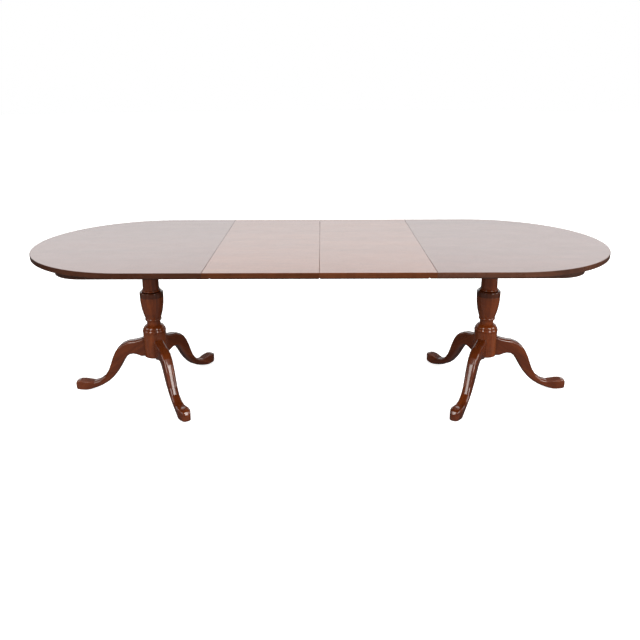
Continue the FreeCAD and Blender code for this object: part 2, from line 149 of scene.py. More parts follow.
def everything(shape: BMesh) -> list:
    """All vertices, edges and faces of a shape."""
    return [*shape.verts, *shape.edges, *shape.faces]


def lies_at(edge: BMEdge, axis: int, value: float) -> bool:
    """Whether an edge lies in the plane where an axis has a value."""
    return all(abs(vertex.co[axis] - value) < TOUCH for vertex in edge.verts)


def block(low: Vector, high: Vector) -> BMesh:
    """Makes a block between two corners.

    Args:
        low: Lowest corner.
        high: Highest corner.

    Returns:
        The block as a new shape.
    """
    shape = bmesh.new()
    bmesh.ops.create_cube(shape, size=1.0)
    bmesh.ops.scale(shape, vec=high - low, verts=shape.verts)
    bmesh.ops.translate(shape, vec=(low + high) / 2, verts=shape.verts)
    return shape


def ease(shape: BMesh, geom: list, radius: float, segments: int, affect: str = "EDGES") -> None:
    """Rounds edges of a shape, or corners of a flat one, with a number of faces across the rounding."""
    bmesh.ops.bevel(shape, geom=geom, offset=radius, offset_type="OFFSET", segments=segments, profile=0.5,
                    affect=affect, material=-1, clamp_overlap=True)


def as_object(shape: BMesh, name: str, sharp: float) -> bpy.types.Object:
    """Turns a shape into a smooth-shaded object at the origin.

    Args:
        shape: Shape to take; it is freed.
        name: Name of the piece.
        sharp: Angle in degrees from which an edge shows as sharp.

    Returns:
        The new object, linked to the scene.
    """
    bmesh.ops.remove_doubles(shape, verts=shape.verts, dist=MERGE)
    bmesh.ops.recalc_face_normals(shape, faces=shape.faces)
    mesh = bpy.data.meshes.new(name)
    shape.to_mesh(mesh)
    shape.free()
    mesh.shade_smooth()
    mesh.set_sharp_from_angle(angle=math.radians(sharp))
    piece = bpy.data.objects.new(name, mesh)
    bpy.context.scene.collection.objects.link(piece)
    return piece


def flatten_modifiers(piece: bpy.types.Object) -> BMesh:
    """Takes a working object with its modifiers applied, and removes it.

    Args:
        piece: Working object.

    Returns:
        Its finished shape.
    """
    graph = bpy.context.evaluated_depsgraph_get()
    graph.update()
    mesh = bpy.data.meshes.new_from_object(piece.evaluated_get(graph))
    shape = bmesh.new()
    shape.from_mesh(mesh)
    bpy.data.meshes.remove(mesh)
    bpy.data.objects.remove(piece)
    return shape


def even_shading(piece: bpy.types.Object) -> None:
    """Lets the broad faces of a piece keep their own direction beside small roundings."""
    piece.modifiers.new("even_shading", "WEIGHTED_NORMAL").keep_sharp = True


def store_grain(piece: bpy.types.Object, place: GrainPlace) -> None:
    """Writes where each vertex lies in the wood, with the grain along the first axis.

    Args:
        piece: Piece that gets the attribute.
        place: Function from a point of the piece to a point in the wood.
    """
    draw = random.Random(piece.name)
    start = Vector([draw.uniform(0, GRAIN_SPREAD) for _ in range(3)])
    values: list[float] = []
    for vertex in piece.data.vertices:
        values.extend(place(vertex.co) + start)
    layer = piece.data.attributes.new(GRAIN, "FLOAT_VECTOR", "POINT")
    layer.data.foreach_set("vector", values)


def hand_over(piece: bpy.types.Object, body: str, finish: "Finish", node: str) -> None:
    """Gives a finished piece its material and its body, and hides the solid that it stands for.

    Args:
        piece: Finished piece.
        body: Body that it moves with.
        finish: Its finish.
        node: Solid that it stands for.
    """
    piece.data.materials.append(finish.material())
    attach(piece, body)
    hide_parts(node)
    LOG.info("%s on %s: %d faces", piece.name, body, len(piece.data.polygons))


def keep_solid(node: str, finish: "Finish") -> None:
    """Dresses a solid whose shape stays as it is.

    Args:
        node: Name of the solid.
        finish: Its finish.
    """
    piece = frame["nodes"][node]
    for place in piece.material_slots:
        place.material = finish.material()
    LOG.info("%s keeps its solid", node)


# Finishes


@dataclass(frozen=True)
class Pattern:
    """A cloudy pattern: turns per metre along the grain and across it, finer layers, and how far it is pulled about."""

    along: float
    across: float
    detail: float
    warp: float = 0.0
    roughness: float = 0.55


class Bench:
    """Lays out the nodes of one material or of the surroundings. Cloudy is the span that noise mostly stays in."""

    cloudy: Span = (0.3, 0.7)

    def __init__(self, owner: bpy.types.Material | bpy.types.World) -> None:
        """Clears the owner's nodes.

        Args:
            owner: Material or world to lay out.
        """
        owner.use_nodes = True
        self.tree = owner.node_tree
        self.tree.nodes.clear()

    def add(self, kind: str, inputs: dict[str | int, Any] | None = None, **settings: Any) -> bpy.types.Node:
        """Adds a node.

        Args:
            kind: Blender's name of the node without its prefix.
            inputs: Values or sockets for the node's inputs.
            **settings: Other settings of the node.

        Returns:
            The node.
        """
        node = self.tree.nodes.new("ShaderNode" + kind)
        for key, value in settings.items():
            setattr(node, key, value)
        for key, value in (inputs or {}).items():
            if isinstance(value, Socket):
                self.tree.links.new(value, node.inputs[key])
            else:
                node.inputs[key].default_value = value
        return node

    def sum(self, operation: str, first: Any, second: Any) -> Socket:
        """Result of a sum on two values."""
        return self.add("Math", {0: first, 1: second}, operation=operation).outputs[0]

    def times(self, first: Any, second: Any) -> Socket:
        """Product of two values."""
        return self.sum("MULTIPLY", first, second)

    def bump(self, strength: float, depth: float, height: Any) -> Socket:
        """Fine relief from a height."""
        return self.add("Bump", {"Strength": strength, "Distance": depth, "Height": height}).outputs[0]

    def span(self, value: Any, low: float, high: float, to_low: Any, to_high: Any) -> Socket:
        """Value moved from one span to another, smoothly and held at its ends."""
        inputs = {"Value": value, "From Min": low, "From Max": high, "To Min": to_low, "To Max": to_high}
        return self.add("MapRange", inputs, interpolation_type="SMOOTHSTEP").outputs[0]

    def noise(self, place: Any, pattern: Pattern) -> Socket:
        """Value of a cloudy pattern.

        Args:
            place: Socket with the point to look at.
            pattern: Pattern to look up.

        Returns:
            The value's socket.
        """
        stretch = (pattern.along, pattern.across, pattern.across)
        point = self.add("VectorMath", {0: place, 1: stretch}, operation="MULTIPLY").outputs[0]
        inputs = {"Vector": point, "Scale": 1.0, "Detail": pattern.detail, "Roughness": pattern.roughness,
                  "Distortion": pattern.warp}
        return self.add("TexNoise", inputs).outputs[0]

    def spread(self, value: Any, to_low: Any, to_high: Any) -> Socket:
        """Cloudy value spread from one result to another."""
        return self.span(value, *self.cloudy, to_low, to_high)

    def ramp(self, value: Any, stops: tuple[float, ...], *colours: Colour) -> Socket:
        """Colour looked up along a row of stops.

        Args:
            value: Socket with the place along the row.
            stops: Places along the row.
            *colours: Their colours.

        Returns:
            The colour's socket.
        """
        node = self.add("ValToRGB", {0: value})
        row = node.color_ramp.elements
        for index, (place, colour) in enumerate(zip(stops, colours)):
            stop = row[index] if index < len(row) else row.new(place)
            stop.position = place
            stop.color = (*colour, 1.0)
        return node.outputs[0]

    def shade(self, colour: Any, amount: Any) -> Socket:
        """Colour made lighter or darker by an amount."""
        return self.add("VectorMath", {0: colour, "Scale": amount}, operation="SCALE").outputs[0]

    def blend(self, share: Any, first: Any, second: Any) -> Socket:
        """Colour between two colours."""
        return self.add("Mix", {"Factor": share, 6: first, 7: second}, data_type="RGBA").outputs[2]

    def surface(self, inputs: dict[str | int, Any]) -> None:
        """Ends the layout with a surface that has these inputs."""
        shader = self.add("BsdfPrincipled", inputs)
        self.add("OutputMaterial", {"Surface": shader.outputs[0]})


@dataclass(frozen=True)
class Finish:
    """A finish with a name and its slot of the record, made into a material once."""

    name: str
    slot: Slot

    def material(self) -> bpy.types.Material:
        """Makes the material, or finds it again.

        Returns:
            Material of the finish.
        """
        found = bpy.data.materials.get(self.name)
        if found is None:
            found = bpy.data.materials.new(self.name)
            self.lay_out(Bench(found))
        return found

    def lay_out(self, bench: Bench) -> None:
        """Lays out the nodes on a bench."""
        raise NotImplementedError


@dataclass(frozen=True)
class Mahogany(Finish):
    """Lacquered mahogany: broad ribbons, fine lines and short open pores along the grain.

    Its arrises can be worn, and a ring between two heights over the floor can be made darker.
    """

    deep: Colour
    middle: Colour
    light: Colour
    gloss: float = 0.30
    coat: float = 0.5
    coat_roughness: float = 0.07
    haze: float = 0.06
    under_shine: float = 0.5
    chatter: float = 0.07
    edge_wear: float = 0.0
    worn: Colour = (0.20, 0.075, 0.032)
    ring: Span | None = None
    ring_tone: float = 0.5
    ribbon: Pattern = Pattern(0.5, 11.0, 3.0, 0.5)
    figure: Pattern = Pattern(2.2, 46.0, 4.0, 0.7)
    line: Pattern = Pattern(16.0, 520.0, 3.0)
    cross: Pattern = Pattern(34.0, 7.0, 2.0, 0.3)
    pore: Pattern = Pattern(150.0, 2300.0, 1.0)
    patch: Pattern = Pattern(60.0, 60.0, 3.0)
    cloud: Pattern = Pattern(9.0, 14.0, 4.0)
    ribbon_share: float = 0.6
    stops: tuple[float, ...] = (0.33, 0.50, 0.68)
    line_tones: Span = (1.14, 0.84)
    line_height: float = 0.3
    pore_edge: Span = (0.60, 0.70)
    pore_tone: float = 0.55
    pore_roughness: float = 0.12
    arris: Span = (0.53, 0.62)
    patch_edge: Span = (0.40, 0.62)
    relief: Span = (0.10, 0.2 * MM)

    def lay_out(self, bench: Bench) -> None:
        """Lays out the material's nodes.

        Args:
            bench: Bench of the material.
        """
        place = bench.add("Attribute", attribute_name=GRAIN).outputs["Vector"]
        line = bench.noise(place, self.line)
        pore = bench.span(bench.noise(place, self.pore), *self.pore_edge, 0.0, 1.0)
        ribbon = bench.times(bench.noise(place, self.ribbon), self.ribbon_share)
        figure = bench.times(bench.noise(place, self.figure), 1.0 - self.ribbon_share)
        colour = bench.ramp(bench.sum("ADD", ribbon, figure), self.stops, self.deep, self.middle, self.light)
        if self.edge_wear:
            bare = bench.span(bench.add("NewGeometry").outputs["Pointiness"], *self.arris, 0.0, self.edge_wear)
            patchy = bench.span(bench.noise(place, self.patch), *self.patch_edge, 0.0, 1.0)
            colour = bench.blend(bench.times(bare, patchy), colour, (*self.worn, 1.0))
        cross = bench.spread(bench.noise(place, self.cross), 1.0 - self.chatter, 1.0 + self.chatter)
        tone = bench.times(bench.spread(line, *self.line_tones), cross)
        tone = bench.times(tone, bench.span(pore, 0.0, 1.0, 1.0, self.pore_tone))
        if self.ring:
            low, high = self.ring
            level = bench.add("SeparateXYZ", {0: bench.add("TexCoord").outputs["Object"]}).outputs["Z"]
            inside = bench.span(level, low, low + MM, 1.0, self.ring_tone)
            tone = bench.times(tone, bench.span(level, high - MM, high, inside, 1.0))
        haze = bench.spread(bench.noise(place, self.cloud), self.gloss - self.haze, self.gloss + self.haze)
        rough = bench.sum("ADD", haze, bench.times(pore, self.pore_roughness))
        height = bench.sum("SUBTRACT", bench.times(line, self.line_height), pore)
        bench.surface({"Base Color": bench.shade(colour, tone), "Roughness": rough,
                       "Normal": bench.bump(*self.relief, height), "Specular IOR Level": self.under_shine,
                       "Coat Weight": self.coat, "Coat Roughness": self.coat_roughness})


@dataclass(frozen=True)
class PlainHardwood(Finish):
    """Pale waxed hardwood of the slides and blocks, with the turn about Z that brings its grain onto X."""

    turn: float = 0.0
    dark: Colour = (0.36, 0.22, 0.115)
    light: Colour = (0.58, 0.41, 0.245)
    figure: Pattern = Pattern(1.6, 60.0, 4.0, 0.8)
    line: Pattern = Pattern(12.0, 600.0, 3.0)
    fleck: Pattern = Pattern(170.0, 1500.0, 1.0)
    grime: Pattern = Pattern(7.0, 7.0, 4.0)
    stops: Span = (0.32, 0.66)
    line_tones: Span = (1.10, 0.88)
    fleck_edge: Span = (0.62, 0.72)
    fleck_tone: float = 0.78
    grime_edge: Span = (0.35, 0.65)
    grime_tones: Span = (0.88, 1.04)
    roughness: Span = (0.46, 0.62)
    relief: Span = (0.25, 0.3 * MM)

    def lay_out(self, bench: Bench) -> None:
        """Lays out the material's nodes.

        Args:
            bench: Bench of the material.
        """
        point = bench.add("TexCoord").outputs["Object"]
        place = bench.add("Mapping", {"Vector": point, "Rotation": (0.0, 0.0, self.turn)}).outputs[0]
        line = bench.noise(place, self.line)
        fleck = bench.span(bench.noise(place, self.fleck), *self.fleck_edge, 0.0, 1.0)
        colour = bench.ramp(bench.noise(place, self.figure), self.stops, self.dark, self.light)
        tone = bench.times(bench.spread(line, *self.line_tones), bench.span(fleck, 0.0, 1.0, 1.0, self.fleck_tone))
        grime = bench.span(bench.noise(point, self.grime), *self.grime_edge, *self.grime_tones)
        bench.surface({"Base Color": bench.shade(colour, bench.times(tone, grime)),
                       "Roughness": bench.spread(line, *self.roughness), "Normal": bench.bump(*self.relief, line)})


@dataclass(frozen=True)
class ZincSteel(Finish):
    """Zinc plated steel with a faint crystal pattern and fine scratches."""

    dull: Colour = (0.40, 0.41, 0.42)
    bright: Colour = (0.66, 0.66, 0.64)
    crystals: float = 160.0
    crystal_contrast: float = 1.2
    scratch: Pattern = Pattern(2600.0, 90.0, 2.0)
    stain: Pattern = Pattern(40.0, 40.0, 4.0)
    stops: Span = (0.2, 0.8)
    roughness: Span = (0.24, 0.44)
    scratch_edge: Span = (0.4, 0.7)
    scratch_roughness: float = 0.08
    relief: Span = (0.12, 0.1 * MM)

    def lay_out(self, bench: Bench) -> None:
        """Lays out the material's nodes.

        Args:
            bench: Bench of the material.
        """
        point = bench.add("TexCoord").outputs["Object"]
        crystal = bench.add("TexVoronoi", {"Vector": point, "Scale": self.crystals}).outputs["Distance"]
        scratch = bench.noise(point, self.scratch)
        colour = bench.ramp(bench.times(crystal, self.crystal_contrast), self.stops, self.dull, self.bright)
        rough = bench.sum("ADD", bench.spread(bench.noise(point, self.stain), *self.roughness),
                          bench.span(scratch, *self.scratch_edge, 0.0, self.scratch_roughness))
        bench.surface({"Base Color": colour, "Metallic": 1.0, "Roughness": rough,
                       "Normal": bench.bump(*self.relief, scratch)})


@dataclass(frozen=True)
class MouldedPlastic(Finish):
    """Dark moulded plastic, dulled where it slides."""

    dark: Colour = (0.018, 0.012, 0.009)
    pale: Colour = (0.055, 0.040, 0.032)
    speck: Pattern = Pattern(900.0, 900.0, 3.0)
    scuff: Pattern = Pattern(60.0, 220.0, 4.0)
    stops: Span = (0.35, 0.70)
    roughness: Span = (0.38, 0.58)
    relief: Span = (0.2, 0.1 * MM)

    def lay_out(self, bench: Bench) -> None:
        """Lays out the material's nodes.

        Args:
            bench: Bench of the material.
        """
        point = bench.add("TexCoord").outputs["Object"]
        scuff = bench.noise(point, self.scuff)
        bench.surface({"Base Color": bench.ramp(scuff, self.stops, self.dark, self.pale),
                       "Roughness": bench.spread(scuff, *self.roughness),
                       "Normal": bench.bump(*self.relief, bench.noise(point, self.speck))})


END_TOP = Mahogany("end_top_lacquer", Slot.TOP, (0.118, 0.035, 0.022), (0.138, 0.042, 0.026), (0.157, 0.050, 0.030),
                   coat=1.0, haze=0.012, chatter=0.02)
LEAF_TOP = Mahogany("leaf_top_lacquer", Slot.TOP, (0.190, 0.060, 0.028), (0.215, 0.071, 0.033), (0.240, 0.082, 0.038),
                    coat=1.0, haze=0.012, chatter=0.02)
# The two end sections share one mahogany, painted in two copies: the left copy is darker as painted shade, and the
# right copy is lighter with more shine as painted light. These copies also finish the slab edges of the end sections.
LEFT_APRON_SHADED = Mahogany("left_apron_lacquer", Slot.APRON, (0.025, 0.0078, 0.0035), (0.044, 0.0138, 0.0060),
                      (0.065, 0.0210, 0.0094), coat=0.4, under_shine=0.1)
RIGHT_APRON_LIT = Mahogany("right_apron_lacquer", Slot.APRON, (0.042, 0.0150, 0.0078), (0.073, 0.0264, 0.0138),
                       (0.104, 0.0385, 0.0204), coat=0.5, under_shine=0.3)
APRON_WOOD_LIT_AND_SHADED = {End.LEFT: LEFT_APRON_SHADED, End.RIGHT: RIGHT_APRON_LIT}
LEAF_APRON = Mahogany("leaf_apron_lacquer", Slot.APRON, (0.050, 0.0140, 0.0045), (0.092, 0.0262, 0.0085),
                      (0.130, 0.0390, 0.0135), coat=0.3, under_shine=0.1)
COLUMN_WOOD = Mahogany("column_lacquer", Slot.PEDESTAL, (0.074, 0.0134, 0.0018), (0.144, 0.0264, 0.0032),
                       (0.212, 0.0450, 0.0076), gloss=0.24, coat=0.8, coat_roughness=0.05, under_shine=0.15,
                       edge_wear=0.3, ring=(479.5 * MM, 508.0 * MM))
LEG_WOOD = Mahogany("leg_lacquer", Slot.PEDESTAL, (0.054, 0.0099, 0.0018), (0.104, 0.0195, 0.0032),
                    (0.154, 0.0336, 0.0074), gloss=0.24, coat=0.8, coat_roughness=0.11, under_shine=0.15,
                    edge_wear=0.3)
SLIDE_WOOD = PlainHardwood("slide_hardwood_along", Slot.SLIDE)
TIE_WOOD = PlainHardwood("slide_hardwood_across", Slot.SLIDE, turn=-math.pi / 2)
STEEL = ZincSteel("zinc_plated_steel", Slot.STEEL)
GLIDE = MouldedPlastic("glide_moulding", Slot.GLIDE)


# Sub-assemblies


@dataclass
class TableTop:
    """The two round-ended sections and the two leaves."""

    edge_round: float = 3.0 * MM
    edge_segments: int = 5
    seam_round: float = 0.5 * MM
    seam_lean: float = 0.9 * MM
    seam_segments: int = 3
    round_segments: int = 256
    pin_radius: float = 4.8 * MM
    pin_hole_depth: float = 30.05 * MM
    pin_from_side: float = 153.0 * MM
    pin_facets: int = 32
    sharp: float = 50.0
    flat: float = 0.98

    def build(self) -> None:
        """Builds and dresses the four sections."""
        for end in End:
            # The end sections' slab edges take their end's painted lit or painted shaded apron copy.
            self.finish(self.end_section(end), f"{end.word}_end_top", end.half, END_TOP, APRON_WOOD_LIT_AND_SHADED[end])
            node = f"{end.word}_leaf_top"
            self.finish(block(*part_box(node)), node, f"{end.word}_leaf", LEAF_TOP, LEAF_APRON)

    def end_section(self, end: End) -> BMesh:
        """Makes one end section, straight beside the seam and then a half circle.

        Args:
            end: End of the table.

        Returns:
            The slab with square edges.
        """
        low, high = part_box(f"{end.word}_end_top")
        radius = (high.y - low.y) / 2
        seam, tip = (high.x, low.x) if end is End.LEFT else (low.x, high.x)
        centre = Vector((tip - end.value * radius, 0.0, low.z))
        shape = bmesh.new()
        bmesh.ops.create_circle(shape, cap_ends=True, segments=self.round_segments, radius=radius,
                                matrix=Matrix.Translation(centre))
        bmesh.ops.bisect_plane(shape, geom=everything(shape), dist=MERGE, plane_co=centre,
                               plane_no=(-end.value, 0.0, 0.0), clear_outer=True)
        chord = [edge for edge in shape.edges if lies_at(edge, X, centre.x)]
        grown = bmesh.ops.extrude_edge_only(shape, edges=chord)["geom"]
        corners = [item for item in grown if isinstance(item, BMVert)]
        bmesh.ops.translate(shape, vec=(seam - centre.x, 0.0, 0.0), verts=corners)
        bmesh.ops.dissolve_edges(shape, edges=chord, use_verts=False)
        raised = bmesh.ops.extrude_face_region(shape, geom=shape.faces[:])["geom"]
        rim = [item for item in raised if isinstance(item, BMVert)]
        bmesh.ops.translate(shape, vec=UP * (high.z - low.z), verts=rim)
        bmesh.ops.recalc_face_normals(shape, faces=shape.faces)
        return shape

    def finish(self, shape: BMesh, node: str, body: str, wood: Mahogany, edging: Mahogany) -> None:
        """Eases the edges, bores the pin holes and dresses a section.

        Args:
            shape: Slab with square edges.
            node: Solid that it stands for.
            body: Body that it moves with.
            wood: Finish of the section.
            edging: Finish of its edge.
        """
        low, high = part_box(node)
        tips = (CAD_BOX[0].x, CAD_BOX[1].x)
        seams = [x for x in (low.x, high.x) if min(abs(x - tip) for tip in tips) > MM]

        def in_seam(edge: BMEdge) -> bool:
            """Whether an edge lies in a seam's plane."""
            return any(lies_at(edge, X, x) for x in seams)

        level = [e for e in shape.edges if lies_at(e, Z, low.z) or lies_at(e, Z, high.z)]
        ease(shape, [e for e in level if not in_seam(e)], self.edge_round, self.edge_segments)
        upper = [e for e in shape.edges if in_seam(e) and lies_at(e, Z, high.z)]
        for x in seams:
            rim = {v for e in upper for v in e.verts if abs(v.co.x - x) < TOUCH}
            lean = math.copysign(self.seam_lean, (low.x + high.x) / 2 - x)
            bmesh.ops.translate(shape, vec=(lean, 0.0, 0.0), verts=list(rim))
        ease(shape, upper, self.seam_round, self.seam_segments)
        piece = as_object(self.bored(shape, seams, (low + high) / 2), node + "_slab", self.sharp)
        store_grain(piece, Vector.copy)
        even_shading(piece)
        hand_over(piece, body, wood, node)
        piece.data.materials.append(edging.material())
        for face in piece.data.polygons:
            face.material_index = int(abs(face.normal.z) < self.flat)

    def bored(self, shape: BMesh, seams: list[float], middle: Vector) -> BMesh:
        """Bores the holes for the alignment pins.

        Args:
            shape: Slab to bore.
            seams: Places of its seams.
            middle: Middle of the slab.

        Returns:
            The bored slab.
        """
        reach = CAD_BOX[1].y - self.pin_from_side
        bits = bmesh.new()
        for seam in seams:
            for y in (-reach, 0.0, reach):
                lay = Matrix.Translation((seam, y, middle.z)) @ Matrix.Rotation(math.pi / 2, 4, "Y")
                bmesh.ops.create_cone(bits, cap_ends=True, segments=self.pin_facets, radius1=self.pin_radius,
                                      radius2=self.pin_radius, depth=2 * self.pin_hole_depth, matrix=lay)
        cutter = as_object(bits, "pin_bits", self.sharp)
        slab = as_object(shape, "slab_to_bore", self.sharp)
        cut = slab.modifiers.new("pin_holes", "BOOLEAN")
        cut.object = cutter
        cut.operation = "DIFFERENCE"
        done = flatten_modifiers(slab)
        bpy.data.objects.remove(cutter)
        return done


@dataclass
class Apron:
    """The apron under the top: straight rails, quarter-round corners and end rails."""

    lower_round: float = 1.6 * MM
    round_segments: int = 3
    notch_width: float = 3.5 * MM
    notch_height: float = 6.0 * MM
    corner_steps: int = 28
    sharp: float = 40.0

    def build(self) -> None:
        """Builds and dresses every piece of the apron."""
        for end in End:
            for side in Side:
                self.rail(f"{end.word}_end_apron_{side.word}", end.half, APRON_WOOD_LIT_AND_SHADED[end], [-end.value])
                self.rail(f"{end.word}_leaf_apron_{side.word}", f"{end.word}_leaf", LEAF_APRON, [-1, 1])
                self.corner(end, side)
            node = f"{end.word}_apron_end"
            self.finish(block(*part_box(node)), node, end.half, APRON_WOOD_LIT_AND_SHADED[end], lambda point: point.yxz)

    def rail(self, node: str, body: str, wood: Mahogany, notched: list[int]) -> None:
        """Makes a straight rail along the table.

        Args:
            node: Solid that it stands for.
            body: Body that it moves with.
            wood: Its finish.
            notched: Ends, by the sign of X, whose lower corner is eased away at a seam.
        """
        low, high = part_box(node)
        shape = block(low, high)
        for way in notched:
            x = high.x if way > 0 else low.x
            plane = Vector((way * self.notch_height, 0.0, -self.notch_width)).normalized()
            point = Vector((x, 0.0, low.z + self.notch_height))
            bmesh.ops.bisect_plane(shape, geom=everything(shape), dist=MERGE, plane_co=point, plane_no=plane,
                                   clear_outer=True)
            bmesh.ops.holes_fill(shape, edges=[e for e in shape.edges if e.is_boundary], sides=0)
        self.finish(shape, node, body, wood, Vector.copy)

    def finish(self, shape: BMesh, node: str, body: str, wood: Mahogany, place: GrainPlace) -> None:
        """Eases the lower edges of a rail and dresses it.

        Args:
            shape: Rail with square edges.
            node: Solid that it stands for.
            body: Body that it moves with.
            wood: Its finish.
            place: Where a point of the rail lies in the wood.
        """
        foot = min(v.co.z for v in shape.verts)
        ease(shape, [e for e in shape.edges if lies_at(e, Z, foot)], self.lower_round, self.round_segments)
        piece = as_object(shape, node + "_rail", self.sharp)
        store_grain(piece, place)
        even_shading(piece)
        hand_over(piece, body, wood, node)

    def corner(self, end: End, side: Side) -> None:
        """Makes a quarter-round corner by turning the rail's section.

        Args:
            end: End of the table.
            side: Side of the table.
        """
        node = f"{end.word}_apron_corner_{side.word}"
        low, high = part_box(node)
        rail_low, rail_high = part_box(f"{end.word}_apron_end")
        thickness = rail_high.x - rail_low.x
        radius = high.x - low.x
        axis = Vector((low.x if end is End.RIGHT else high.x, low.y if side is Side.BACK else high.y, 0.0))
        shape = bmesh.new()
        bmesh.ops.create_grid(shape, x_segments=1, y_segments=1, size=0.5)
        stand = Matrix.Rotation(math.pi / 2, 4, "X")
        size = Matrix.Diagonal((thickness, 1.0, high.z - low.z, 1.0))
        shift = Matrix.Translation((radius - thickness / 2, 0.0, (low.z + high.z) / 2))
        bmesh.ops.transform(shape, matrix=shift @ size @ stand, verts=shape.verts)
        foot = [v for v in shape.verts if v.co.z < low.z + TOUCH]
        ease(shape, foot, self.lower_round, self.round_segments, "VERTICES")
        bmesh.ops.spin(shape, geom=everything(shape), cent=(0.0, 0.0, 0.0), axis=UP, angle=math.pi / 2,
                       steps=self.corner_steps, use_merge=False)
        turn = math.atan2(side.value, end.value) - math.pi / 4
        place = Matrix.Translation(axis) @ Matrix.Rotation(turn, 4, "Z")
        bmesh.ops.transform(shape, matrix=place, verts=shape.verts)

        def in_wood(point: Vector) -> Vector:
            """Point along the bend of the corner."""
            arm = point.xy - axis.xy
            return Vector((radius * math.atan2(end.value * arm.x, side.value * arm.y), arm.length, point.z))

        piece = as_object(shape, node + "_bend", self.sharp)
        store_grain(piece, in_wood)
        hand_over(piece, end.half, APRON_WOOD_LIT_AND_SHADED[end], node)


class Turning:
    """Outline of a turned column, drawn upwards from its foot."""

    def __init__(self, start: Vector, arc_steps: int) -> None:
        """Starts the outline at a point with the radius in X and the height in Z."""
        self.points = [start]
        self.arc_steps = arc_steps

    def step(self, radius: float, height: float = 0.0) -> None:
        """Straight line to a radius, and upwards by a height."""
        self.points.append(Vector((radius, 0.0, self.points[-1].z + height)))

    def groove(self, size: float) -> None:
        """Small square groove.

        Args:
            size: Its depth and height.
        """
        radius = self.points[-1].x
        self.step(radius - size)
        self.step(radius - size, size)
        self.step(radius)

    def bulge(self, middle_radius: float, end_radius: float, height: float) -> None:
        """Round curve outwards or inwards, through a middle radius.

        Args:
            middle_radius: Radius halfway up.
            end_radius: Radius at the top.
            height: Height of the curve.
        """
        start = self.points[-1]
        end = Vector((end_radius, 0.0, start.z + height))
        chord = end - start
        normal = Vector((chord.z, 0.0, -chord.x)).normalized()
        rise = (Vector((middle_radius, 0.0, start.z + height / 2)) - (start + end) / 2).dot(normal)
        half = 2 * math.atan2(2 * abs(rise), chord.length)
        radius = chord.length / 2 / math.sin(half)
        way = math.copysign(1.0, rise)
        for index in range(1, self.arc_steps + 1):
            angle = half * (2 * index / self.arc_steps - 1)
            along = (math.sin(angle) * radius / chord.length + 0.5) * chord
            self.points.append(start + along + normal * way * radius * (math.cos(angle) - math.cos(half)))

    def quarter(self, end_radius: float, height: float) -> None:
        """Quarter round over the top of a moulding.

        Args:
            end_radius: Radius at the top.
            height: Height of the quarter round.
        """
        start = self.points[-1]
        for index in range(1, self.arc_steps + 1):
            angle = math.pi / 2 * index / self.arc_steps
            radius = end_radius + (start.x - end_radius) * math.cos(angle)
            self.points.append(Vector((radius, 0.0, start.z + height * math.sin(angle))))

    def turned(self, steps: int) -> BMesh:
        """Spins the outline about the upright axis.

        Args:
            steps: Steps round the column.

        Returns:
            The closed turned shape.
        """
        shape = bmesh.new()
        verts = [shape.verts.new(point) for point in self.points]
        edges = [shape.edges.new(pair) for pair in zip(verts, verts[1:])]
        bmesh.ops.spin(shape, geom=[*verts, *edges], cent=(0.0, 0.0, 0.0), axis=UP, angle=math.tau, steps=steps,
                       use_merge=True)
        return shape


@dataclass(frozen=True)
class LegStation:
    """One section of a leg: shares of the reach past its root, shares of the heights, the width and the crown."""

    upper_reach: float
    upper_height: float
    lower_reach: float
    lower_height: float
    width: float
    crown: float


KNEE, ANKLE, FOOT, TOE = 48.0 * MM, 43.0 * MM, 54.0 * MM, 20.0 * MM
KNEE_CROWN, LEG_CROWN, FOOT_CROWN = 11.0 * MM, 15.0 * MM, 8.0 * MM
LEG_STATIONS = tuple(LegStation(*row) for row in (
    (-0.050, 1.000, -0.050, 0.992, KNEE, KNEE_CROWN),
    (0.055, 0.941, 0.045, 0.992, KNEE, KNEE_CROWN),
    (0.125, 0.918, 0.100, 1.042, KNEE, KNEE_CROWN),
    (0.215, 0.900, 0.150, 1.066, KNEE, KNEE_CROWN),
    (0.295, 0.855, 0.207, 1.052, KNEE, KNEE_CROWN),
    (0.355, 0.788, 0.252, 0.987, 0.8 * KNEE + 0.2 * ANKLE, 0.7 * KNEE_CROWN + 0.3 * LEG_CROWN),
    (0.405, 0.698, 0.300, 0.845, 0.6 * KNEE + 0.4 * ANKLE, 0.3 * KNEE_CROWN + 0.7 * LEG_CROWN),
    (0.445, 0.595, 0.347, 0.682, 0.4 * KNEE + 0.6 * ANKLE, LEG_CROWN),
    (0.480, 0.475, 0.398, 0.527, 0.2 * KNEE + 0.8 * ANKLE, LEG_CROWN),
    (0.520, 0.352, 0.463, 0.372, ANKLE, LEG_CROWN),
    (0.575, 0.250, 0.535, 0.246, ANKLE, LEG_CROWN),
    (0.650, 0.178, 0.622, 0.142, 0.9 * ANKLE + 0.1 * FOOT, 0.8 * LEG_CROWN + 0.2 * FOOT_CROWN),
    (0.730, 0.143, 0.712, 0.068, 0.6 * ANKLE + 0.4 * FOOT, 0.4 * LEG_CROWN + 0.6 * FOOT_CROWN),
    (0.800, 0.147, 0.790, 0.022, 0.2 * ANKLE + 0.8 * FOOT, FOOT_CROWN),
    (0.865, 0.159, 0.860, -0.040, FOOT, FOOT_CROWN),
    (0.925, 0.165, 0.920, -0.047, 0.82 * FOOT + 0.18 * TOE, FOOT_CROWN),
    (0.972, 0.153, 0.968, -0.031, 0.5 * FOOT + 0.5 * TOE, FOOT_CROWN),
    (0.998, 0.108, 0.996, 0.030, TOE, FOOT_CROWN),
))


